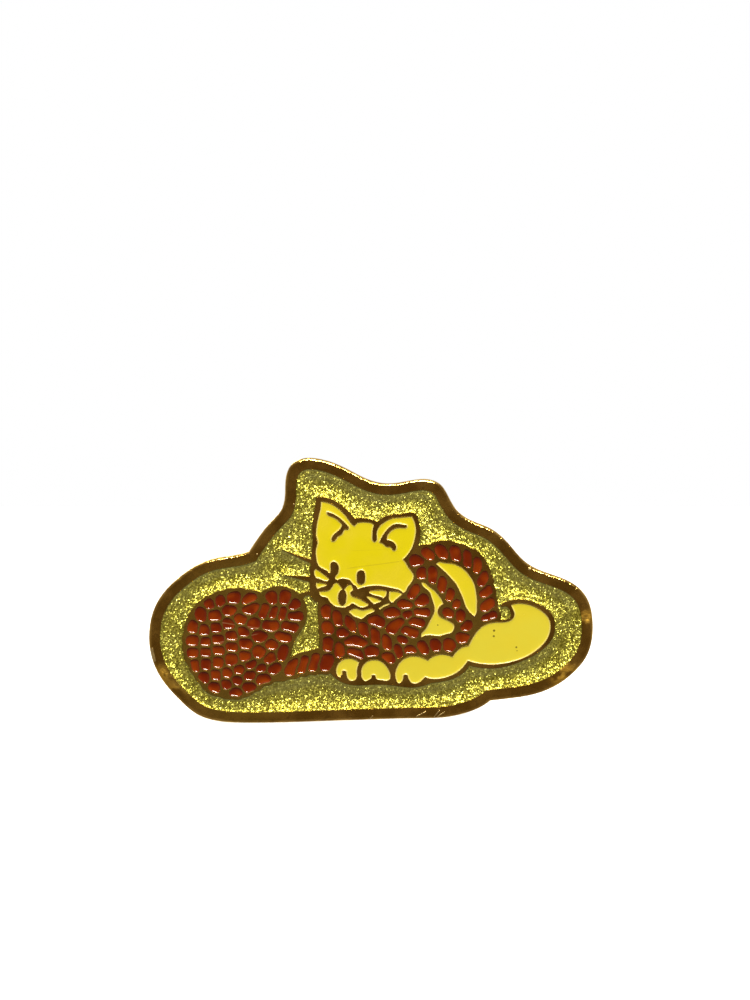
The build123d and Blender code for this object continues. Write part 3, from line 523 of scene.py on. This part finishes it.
def flake_enamel():
    """Metal flakes in clear lacquer: each flake is a small mirror tilted its own way. Slopes facing up carry
    a painted highlight, slopes facing down a painted grey-green reflection, and the walls painted shade.
    """
    lacquer = Finish("flake_enamel", IOR=1.5)
    drift = lacquer.output(lacquer.node("ShaderNodeTexNoise", {}, {
        "Vector": lacquer.spot, "Scale": 5.0, "Detail": 1.0}), "Color")
    place = lacquer.vector("ADD", lacquer.spot, lacquer.vector("SCALE", drift, Scale=0.12))

    def flakes(to_the_mm):
        """One random colour for each flake."""
        return lacquer.output(lacquer.node("ShaderNodeTexVoronoi", {"feature": "F1"}, {
            "Vector": place, "Scale": to_the_mm, "Randomness": 1.0}), "Color")

    def tilted(flake, share):
        """A flake's colour as a tilt to any side."""
        return lacquer.vector("SCALE", lacquer.vector("SUBTRACT", flake, (0.5, 0.5, 0.5)), Scale=share)

    large, small = flakes(FLAKES_PER_MM), flakes(SMALL_FLAKES_PER_MM)
    tilt = lacquer.vector("ADD", tilted(large, LARGE_TILT), tilted(small, SMALL_TILT))
    straight = lacquer.output(lacquer.node("ShaderNodeNewGeometry"), "Normal")
    facing = lacquer.vector("NORMALIZE", lacquer.vector("ADD", straight, tilt))
    tone = lacquer.output(lacquer.node("ShaderNodeSeparateColor", {}, {0: large}), 1)
    colour = lacquer.mix(tone.over(0.3, 0.8), (0.44, 0.41, 0.04), (0.98, 0.95, 0.17))
    cloud = lacquer.noise(1.3, 2)
    colour = lacquer.mix(cloud.over(0.3, 0.75) * 0.3, colour, (0.76, 0.80, 0.22))
    # Painted light: slopes facing down are painted paler and greener, and slopes facing up are painted
    # brighter yellow, as if lit from above.
    upward = lacquer.part(straight, "Z")
    colour = lacquer.mix((upward * -1).over(0.02, 0.22) * 0.5, colour, (0.86, 0.92, 0.40))
    colour = lacquer.mix(upward.over(0.03, 0.2) * 0.6, colour, (0.95, 0.85, 0.10))
    # Painted shade: the enamel is painted dark along the walls of its cell.
    colour = lacquer.mix(by_wall(lacquer).over(0.55, 0.85) * 0.8, colour, (0.10, 0.07, 0.012))
    return lacquer.set(Base_Color=colour, Metallic=0.9, Roughness=tone * 0.1 + 0.28, Normal=facing,
                       Coat_Weight=0.15, Coat_Roughness=0.25)


background = flake_enamel()
for name in ("background_enamel", "background_island_enamel"):
    poured(name, background, "glitter_enamel", **BACKGROUND_FACE)

# ---------------------------------------------------------------------------------------------
# The kitten. Smooth opaque yellow enamel in ten cells, nearly level, drawn up the walls, with a thin
# pale painted highlight and painted shade at the walls. It has picked up a hairline scratch and a few dark
# specks.
KITTEN_FACE = dict(level=-1.41, rise=0.055, reach=0.06, insets=(0.03, 0.07, 0.13, 0.2), pitch=0.22)
DARK_SPECKS = ((8.85, -2.9, 0.1), (8.83, -3.3, 0.09), (10.45, -4.1, 0.08), (10.5, -4.35, 0.05),
               (4.8, -2.5, 0.06))
HAIRLINE = ((-1.9, 1.55), (2.3, 2.1), 0.05)
FAINT_HAIRLINE = ((-1.5, 2.85), (1.5, 2.95), 0.04)


def kitten_enamel():
    """Opaque yellow enamel, a little paler low on the body, with a painted highlight along the walls and
    painted shade right at them.
    """
    yellow = Finish("kitten_enamel", IOR=1.5)
    low_down = 1 - yellow.part(yellow.spot, "Z").over(-2.6, 1.2)
    cloud = yellow.noise(0.45, 2)
    colour = yellow.mix(low_down, (0.77, 0.68, 0.007), (0.78, 0.70, 0.055))
    colour = yellow.mix(cloud.over(0.35, 0.7) * 0.5, colour, (0.82, 0.68, 0.035))
    wall = by_wall(yellow)
    # Painted highlight: a pale line along each wall, where the enamel climbs it.
    colour = yellow.mix(wall.over(0.25, 0.7) * 0.8, colour, (0.86, 0.76, 0.25))
    # Painted shade: the enamel is painted dark right at each wall.
    colour = yellow.mix(wall.over(0.82, 0.97) * 0.8, colour, (0.35, 0.25, 0.03))
    hairlines = yellow.scratch(*HAIRLINE) + yellow.scratch(*FAINT_HAIRLINE) * 0.4
    colour = yellow.mix(hairlines * 0.35, colour, (0.45, 0.36, 0.02))
    colour = yellow.mix(sum(yellow.speck(*spot) for spot in DARK_SPECKS) * 0.85, colour, (0.12, 0.09, 0.01))
    relief = yellow.noise(1.6, 2) + yellow.noise(18.0, 2) * 0.02 - hairlines * 0.1
    return yellow.set(Base_Color=colour, Roughness=cloud.over(0.3, 0.7) * 0.08 + 0.2,
                      Normal=yellow.bump(relief, 0.00003, 0.3))


kitten = kitten_enamel()
for name in enamel_nodes:
    if not name.startswith(("background", "yarn")):
        poured(name, kitten, "yellow_enamel", **KITTEN_FACE)

# ---------------------------------------------------------------------------------------------
# The yarn. Each stitch is its own small cell of translucent red-brown enamel. A cell this small
# doesn't fill level: the enamel climbs its walls and leaves a hollow that catches the light.
STITCH_FACE = dict(level=-1.35, rise=0.13, reach=0.145, insets=(0.02, 0.045, 0.075, 0.11, 0.15, 0.2, 0.26))
BALL_HAIRLINES = (((-11.5, -2.2), (-6.5, -3.0), 0.05), ((-12.0, -4.0), (-8.0, -3.1), 0.05))


def yarn_enamel():
    """Deep red-brown enamel, more orange here and there, with painted shade along the walls of each cell."""
    red = Finish("yarn_enamel", IOR=1.55)
    patch = red.noise(0.8, 1)
    colour = red.mix(patch.over(0.42, 0.62), (0.165, 0.014, 0.0005), (0.25, 0.034, 0.0008))
    # Painted shade: each stitch is painted darker along its walls.
    colour = red.mix(by_wall(red).over(0.45, 0.9) * 0.6, colour, (0.10, 0.02, 0.002))
    hairlines = sum(red.scratch(*mark) for mark in BALL_HAIRLINES)
    return red.set(Base_Color=red.mix(hairlines * 0.3, colour, (0.5, 0.3, 0.15)), Roughness=0.045,
                   Normal=red.bump(red.noise(3.0, 2), 0.00001, 0.3))


yarn = yarn_enamel()
for name in yarn_nodes:
    poured(name, yarn, "red_enamel", **STITCH_FACE)

# ---------------------------------------------------------------------------------------------
# The posts. Each is a wire nail with a cold-formed head, ground to a point, with a groove rolled
# near the point for the clutch's jaws. It is plated with the plate, which it is soldered to.
POST_TURNS = 72
POST_SHARP = 30
SHANK = 0.55               # radii of the shank, of the head and of the blunted point
HEAD = 2.2
POINT = 0.08
HEAD_TOP = 0.15            # above the plate's back
HEAD_CORNER = 0.1          # rounding of the head's upper edge
HEAD_FOOT = 0.05           # and of its lower edge
RING_AT = (1.75, 1.68, 1.5, 1.43)    # radii of a shallow ring that the forming tool leaves
RING_DEPTH = 0.05
NECK = 0.8                 # radius at which the head begins to curve up into the shank
GROOVE_FROM_POINT = 1.85
GROOVE_HALF = 0.25
GROOVE_DEPTH = 0.12
TAPER = 2.1                # power of the point's curve
POINT_CAP = 0.04           # height of the blunt end


def turned(name, node, profile, body, finish, turns, sharp, waves=None):
    """A closed shape turned about the axis of a node: its profile of (radius, y) goes once round.

    waves gives what is added to the radius for an angle and a place along the profile."""
    low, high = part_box(node)
    centre = np.array([(low.x + high.x) / 2, 0, (low.z + high.z) / 2]) / MM
    radius, y = np.array(profile).T
    angle = np.linspace(0, 2 * np.pi, turns, endpoint=False)
    across = radius[:, None] + (waves(angle[None], np.arange(len(radius))[:, None]) if waves else 0 * angle)
    along = np.broadcast_to(y[:, None], across.shape)
    rings = centre + np.stack([across * np.cos(angle), along, across * np.sin(angle)], axis=2)
    parts = [band(second, first) for first, second in zip(rings, rings[1:])]
    if radius[0] > 0:
        parts.append(band(rings[0], rings[-1]))
    made(name, parts, body, node, [finish], sharp)


def arc(centre, radius, start, end, steps):
    """Places on part of a circle of the profile, between two angles in degrees."""
    return [(centre[0] + radius * math.cos(a), centre[1] + radius * math.sin(a))
            for a in np.radians(np.linspace(start, end, steps))]


def post_profile(foot, tip):
    """Profile of a post from the middle of its head, at y = foot, to its point, at y = tip.

    The neck is a quarter circle. In the groove the radius falls by the depth times the square of
    a cosine. Along the point it falls with the power TAPER of the share of the way."""
    groove = tip - GROOVE_FROM_POINT
    taper_start = groove + GROOVE_HALF
    head = [(0, foot), *arc((HEAD - HEAD_FOOT, foot + HEAD_FOOT), HEAD_FOOT, -90, 0, 4),
            *arc((HEAD - HEAD_CORNER, HEAD_TOP - HEAD_CORNER), HEAD_CORNER, 0, 90, 5)]
    head += [(radius, HEAD_TOP - drop) for radius, drop in zip(RING_AT, (0, RING_DEPTH, RING_DEPTH, 0))]
    curve = NECK - SHANK
    neck = [(NECK, HEAD_TOP)] + [(NECK - curve * math.sin(a), HEAD_TOP + curve * (1 - math.cos(a)))
                                 for a in np.linspace(0.2, math.pi / 2, 6)]
    snap = [(SHANK - GROOVE_DEPTH * math.cos(a) ** 2, groove + GROOVE_HALF * 2 * a / math.pi)
            for a in np.linspace(-math.pi / 2, math.pi / 2, 11)]
    point = [(SHANK - (SHANK - POINT) * share ** TAPER, taper_start + (tip - POINT_CAP - taper_start) * share)
             for share in np.linspace(0.1, 1, 12)]
    return head + neck + snap + point + [(POINT * 0.6, tip - POINT_CAP / 5), (0, tip)]


def drawn_wire():
    """Plated steel wire: polished, with the fine lengthwise lines of drawing and some rub marks."""
    wire = Finish("drawn_wire", Metallic=1.0)
    lines = wire.noise(14.0, 2, 0.6, stretch=(1.0, 0.05, 1.0))
    rub = wire.noise(1.4, 3, 0.6)
    return wire.set(Base_Color=wire.mix(rub.over(0.45, 0.75), (0.84, 0.62, 0.26), (0.66, 0.50, 0.28)),
                    Roughness=rub.over(0.3, 0.8) * 0.16 + 0.14, Normal=wire.bump(lines, 0.00002, 0.5))


wire = drawn_wire()
profile = post_profile(seat_depth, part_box("left_post")[1].y / MM)
for side in ("left", "right"):
    turned(side + "_turned_post", side + "_post", profile, "pin", wire, POST_TURNS, POST_SHARP)

# ---------------------------------------------------------------------------------------------
# The solder. A ring of soft solder wets the edge of each post's head and the plate's seat. It
# cools with a hollow, slightly uneven face, dull and grey, with burnt flux beside it.
SOLDER_WIDTH = 0.4
SOLDER_STEPS = 9
SOLDER_HOLLOW = 1.5        # power of the hollow face's curve
CREEP = 0.05               # how far the solder's upper edge creeps in over the head
CREEPING_STEPS = 3


def uneven(angle, place):
    """Change in the radius of the solder's last steps, which creep in over the head.

    It is minus CREEP times the sum of 1, three waves of 0.6 and seven waves of 0.4 round the post."""
    upper = np.where((place >= SOLDER_STEPS - CREEPING_STEPS) & (place < SOLDER_STEPS), 1.0, 0.0)
    return -CREEP * upper * (1 + 0.6 * np.sin(3 * angle) + 0.4 * np.sin(7 * angle + 1))


def dull_solder():
    """Tin solder: frosty grey, with grain and darker patches of flux."""
    tin = Finish("dull_solder", Metallic=1.0)
    flux = tin.noise(2.6, 3, 0.6)
    frost = tin.noise(22.0, 3, 0.65)
    return tin.set(Base_Color=tin.mix(flux.over(0.45, 0.7), (0.62, 0.60, 0.55), (0.36, 0.29, 0.19)),
                   Roughness=flux.over(0.35, 0.75) * 0.2 + 0.34,
                   Normal=tin.bump(frost + flux * 2, 0.00003, 0.6))


tin = dull_solder()
solder_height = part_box("left_post_solder")[1].y / MM - seat_depth
profile = [(HEAD + SOLDER_WIDTH * (1 - share), seat_depth + solder_height * share ** SOLDER_HOLLOW)
           for share in np.linspace(0, 1, SOLDER_STEPS)] + [(HEAD, seat_depth)]
for side in ("left", "right"):
    turned(side + "_solder_ring", side + "_post_solder", profile, "pin", tin,
           POST_TURNS, POST_SHARP, uneven)

# ---------------------------------------------------------------------------------------------
# The clutches' bases. Each is a brass disc, drawn up and rolled over at its edge, with a stamped
# bead in its face and a turned-in hole that guides it on to the post.
CLUTCH_TURNS = 96
CLUTCH_SHARP = 40
CLUTCH = 5.5               # radii of the disc and of its hole
HOLE = 1.3
DISC = 0.4                 # thickness of the disc, and height of its rolled edge
ROLLED = 0.9
HOLE_CORNER = 0.1
EDGE_BEND = 0.42           # radius of the bend up into the rolled edge
EDGE_ROLL = 0.24           # and of the roll at its top
BEAD_AT = (3.2, 3.3, 3.6, 3.7)       # radii of the bead in the face against the plate
BEAD_DEPTH = 0.07
TROUGH_AT = (4.85, 4.78, 4.64, 4.57)  # and of the trough in the face away from it
TROUGH_DEPTH = 0.08
ROLL_FOOT = ((0.46, 0.06), (0.54, 0.0))      # in from the rim and up from the disc
HOLE_LIP = ((0.1, 0.0), (0.02, 0.04), (0.0, 0.1))    # out from the hole and down from the disc


def base_profile(y):
    """Profile of a clutch's base whose face against the plate is at depth y."""
    hole = [(HOLE, HOLE_CORNER + 0.02), *arc((HOLE + HOLE_CORNER, HOLE_CORNER), HOLE_CORNER, 180, 270, 4)]
    bead = list(zip(BEAD_AT, (0, BEAD_DEPTH, BEAD_DEPTH, 0)))
    edge = [*arc((CLUTCH - EDGE_BEND, EDGE_BEND), EDGE_BEND, -90, 0, 8),
            *arc((CLUTCH - EDGE_ROLL, ROLLED - EDGE_ROLL), EDGE_ROLL, 0, 180, 10)]
    edge += [(CLUTCH - inward, DISC + up) for inward, up in ROLL_FOOT]
    trough = list(zip(TROUGH_AT, (DISC, DISC - TROUGH_DEPTH, DISC - TROUGH_DEPTH, DISC)))
    top = [(HOLE + out, DISC - down) for out, down in HOLE_LIP]
    return [(radius, y + depth) for radius, depth in hole + bead + edge + trough + top]


def stamped_brass():
    """Plated brass sheet: bright, with fine stamping lines, rub marks and duller patches."""
    brass = Finish("stamped_brass", Metallic=1.0)
    dull = brass.noise(0.7, 3, 0.6)
    lines = brass.noise(9.0, 3, 0.65, stretch=(0.25, 1.0, 1.0))
    grain = brass.noise(45.0, 2)
    return brass.set(Base_Color=brass.mix(dull.over(0.38, 0.68), (0.86, 0.64, 0.27), (0.70, 0.50, 0.20)),
                     Roughness=dull.over(0.3, 0.7) * 0.14 + 0.17,
                     Normal=brass.bump(lines + grain * 0.2 + dull, 0.00002, 0.6))


brass = stamped_brass()
profile = base_profile(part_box("left_clutch_base")[0].y / MM)
for side in ("left", "right"):
    turned(side + "_pressed_base", side + "_clutch_base", profile, side + "_clutch", brass,
           CLUTCH_TURNS, CLUTCH_SHARP)

# ---------------------------------------------------------------------------------------------
# The covers, springs and wings. They are blanked and folded from the same sheet, and the tumbling
# that cleans them takes the sharpness off every edge. The wings turn on pins through the covers.
SHEET_EDGE = 0.07          # width of the rounded edges
LEAF_EDGE = 0.05
EDGE_SEGMENTS = 3
EDGE_ANGLE = 40            # degrees between two faces from which their edge is rounded
FLAT_ANGLE = 1.0           # and up to which they are one flat side


def folded(name, node, body, finish, width):
    """A copy of a folded sheet with its flat sides made whole and its edges rounded by width."""
    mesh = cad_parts[node].data.copy()
    mesh.materials.clear()
    mesh.materials.append(finish)
    shell = welded(mesh)
    bmesh.ops.dissolve_limit(shell, angle_limit=math.radians(FLAT_ANGLE),
                             verts=shell.verts, edges=shell.edges)
    shell.to_mesh(mesh)
    shell.free()
    mesh.polygons.foreach_set("use_smooth", np.ones(len(mesh.polygons), bool))
    mesh.polygons.foreach_set("material_index", np.zeros(len(mesh.polygons), np.int32))
    piece = placed(name, mesh, body, node)
    rounding = piece.modifiers.new("tumbled edges", "BEVEL")
    rounding.width, rounding.segments = width * MM, EDGE_SEGMENTS
    rounding.limit_method, rounding.angle_limit = "ANGLE", math.radians(EDGE_ANGLE)
    rounding.harden_normals = True


for side in ("left", "right"):
    folded(side + "_folded_cover", side + "_clutch_cover", side + "_clutch", brass, SHEET_EDGE)
    folded(side + "_spring_leaf", side + "_clutch_spring", side + "_clutch", brass, LEAF_EDGE)
    for end in ("upper", "lower"):
        wing = f"{side}_clutch_{end}_wing"
        folded(f"{side}_{end}_squeeze_wing", wing, wing, brass, SHEET_EDGE)

# ---------------------------------------------------------------------------------------------
# Camera, floor and light. The pin is seen straight from the front on white. A bright window
# stands high in front of it, and the room behind the camera is dim and brown.
LENS, SENSOR = 100.0, 36.0
VIEW_HEIGHT = 0.07193      # metres that fit in the picture's height, at the front of the plate
VIEW_CENTRE = (0.00028, 0.0065)      # x and z there, in metres
FLOOR_HALF = 6.0           # metres from its middle to its edge
WHITE = (1.0, 1.0, 1.0)

lens = bpy.data.cameras.new("camera")
lens.lens, lens.sensor_width = LENS, SENSOR
lens.clip_start, lens.clip_end = 0.005, 20.0
camera = bpy.data.objects.new("camera", lens)
camera.location = (VIEW_CENTRE[0], FRONT_Y * MM - VIEW_HEIGHT / SENSOR * LENS, VIEW_CENTRE[1])
camera.rotation_euler = (math.pi / 2, 0, 0)
bpy.context.scene.collection.objects.link(camera)
bpy.context.scene.camera = camera

floor_mesh = bpy.data.meshes.new("floor")
floor_corners = [(x * FLOOR_HALF, y * FLOOR_HALF, cad_box[0].z)
                 for x, y in ((-1, -1), (1, -1), (1, 1), (-1, 1))]
floor_mesh.from_pydata(floor_corners, [], [(0, 1, 2, 3)])
floor_mesh.materials.append(Finish("white_floor", Roughness=0.7).set(
    Base_Color=(0.9, 0.9, 0.9), Emission_Color=WHITE, Emission_Strength=0.9))
floor = bpy.data.objects.new("floor", floor_mesh)
bpy.context.scene.collection.objects.link(floor)
floor.visible_glossy = False
floor.visible_diffuse = False


def soft_light(name, place, size, brightness, colour, roll=0.0):
    """A soft rectangular light that faces the pin, rolled about its own axis.

    Its energy is its brightness times pi times its area, so a larger light is no dimmer."""
    data = bpy.data.lights.new(name, "AREA")
    data.shape, data.size, data.size_y = "RECTANGLE", *size
    data.energy = brightness * math.pi * size[0] * size[1]
    data.color = colour
    light = bpy.data.objects.new(name, data)
    light.location = place
    aimed = Vector(place).to_track_quat("Z", "Y")
    light.rotation_euler = (aimed @ Quaternion((0, 0, 1), roll)).to_euler()
    light.visible_camera = False
    bpy.context.scene.collection.objects.link(light)


soft_light("window", place=(0.02, -0.185, 0.215), size=(0.17, 0.035), brightness=60.0,
           colour=(1.0, 0.93, 0.80), roll=math.radians(-18))
soft_light("back_light", place=(-0.15, 0.3, 0.25), size=(0.16, 0.16), brightness=7.0, colour=WHITE)

bpy.context.scene.world = bpy.data.worlds.new("room")
room = ShaderTree(bpy.context.scene.world, "Generated")
onward, upward = room.part(room.spot, "Y"), room.part(room.spot, "Z")
clutter = room.noise(26.0, 3).over(0.38, 0.66, "LINEAR")
dim_room = room.mix(clutter, (0.058, 0.040, 0.018), (0.215, 0.155, 0.080))
sky = room.mix(upward.over(0.6, 0.95), (0.20, 0.16, 0.115), (0.70, 0.63, 0.47))
around = room.mix(onward.over(-0.93, -0.6), dim_room, sky)
around = room.mix(onward.over(0.05, 0.6), around, (0.78, 0.77, 0.74))
seen_straight = room.output(room.node("ShaderNodeLightPath"), "Is Camera Ray")
glow = room.node("ShaderNodeBackground", {}, {0: room.mix(seen_straight, around, WHITE)})
room.node("ShaderNodeOutputWorld", {}, {0: room.output(glow)})
bpy.context.scene.view_settings.view_transform = "Standard"
